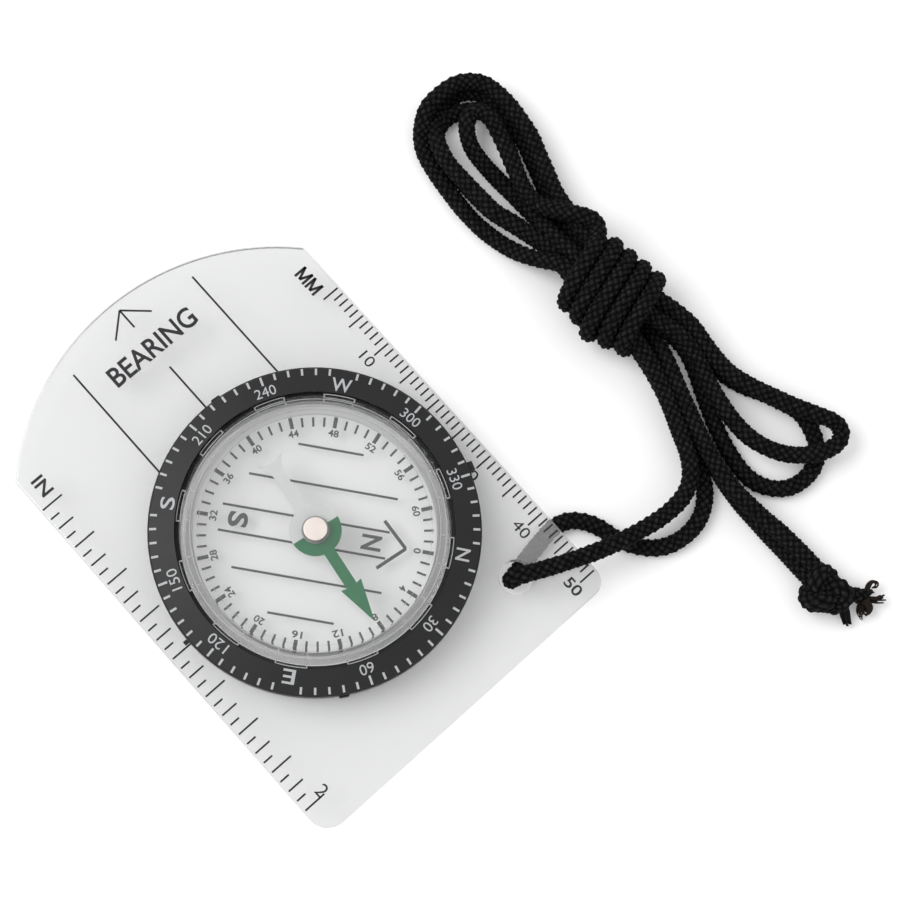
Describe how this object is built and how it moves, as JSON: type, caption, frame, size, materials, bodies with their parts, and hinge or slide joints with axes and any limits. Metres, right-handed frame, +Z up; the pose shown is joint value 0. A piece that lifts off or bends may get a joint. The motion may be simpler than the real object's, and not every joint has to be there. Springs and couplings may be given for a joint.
{
  "type": "baseplate compass",
  "caption": "Clear ruled baseplate with a turning bezel and liquid capsule, a magnetic needle on a pin, and a doubled neck cord folded in a hank.",
  "frame": {"origin": "on the bezel axis at the level the compass stands on (the capsule's underside)", "axes": "+Z up, square to the plate; +Y direction of travel; +X towards the millimetre ruler"},
  "size_m": [0.0866, 0.0958, 0.0092],
  "materials": {
    "clear_plate": "clear acrylic, polished",
    "black_plastic": "fine satin moulding",
    "clear_capsule": "clear moulded plastic, polished",
    "pin_steel": "ground",
    "needle_paint": "satin enamel, green at the north half and white at the south half",
    "hub_brass": "dull nickelled brass",
    "jewel": "polished",
    "black_cord": "braided polyester"
  },
  "bodies": {
    "plate": {"baseplate": "clear_plate", "lanyard_strands": "black_cord", "hank_long_loops": "black_cord", "hank_short_loops": "black_cord", "hank_binding": "black_cord", "tail_upper": "black_cord", "tail_lower": "black_cord", "end_knot": "black_cord", "cut_end_long": "black_cord", "cut_end_short": "black_cord"},
    "dial": {"bezel_ring": "black_plastic", "capsule_base": "clear_capsule", "capsule_cover": "clear_capsule", "pivot_pin": "pin_steel"},
    "needle": {"compass_needle": "needle_paint", "needle_hub": "hub_brass", "jewel_cup": "jewel"}
  },
  "joints": [
    {"name": "bezel_turn", "type": "hinge", "parent": "plate", "child": "dial", "pos_m": [0, 0, 0.0045], "axis": [0, 0, 1], "continuous": true},
    {"name": "needle_swing", "type": "hinge", "parent": "dial", "child": "needle", "pos_m": [0, 0, 0.0058], "axis": [0, 0, 1], "continuous": true}
  ]
}
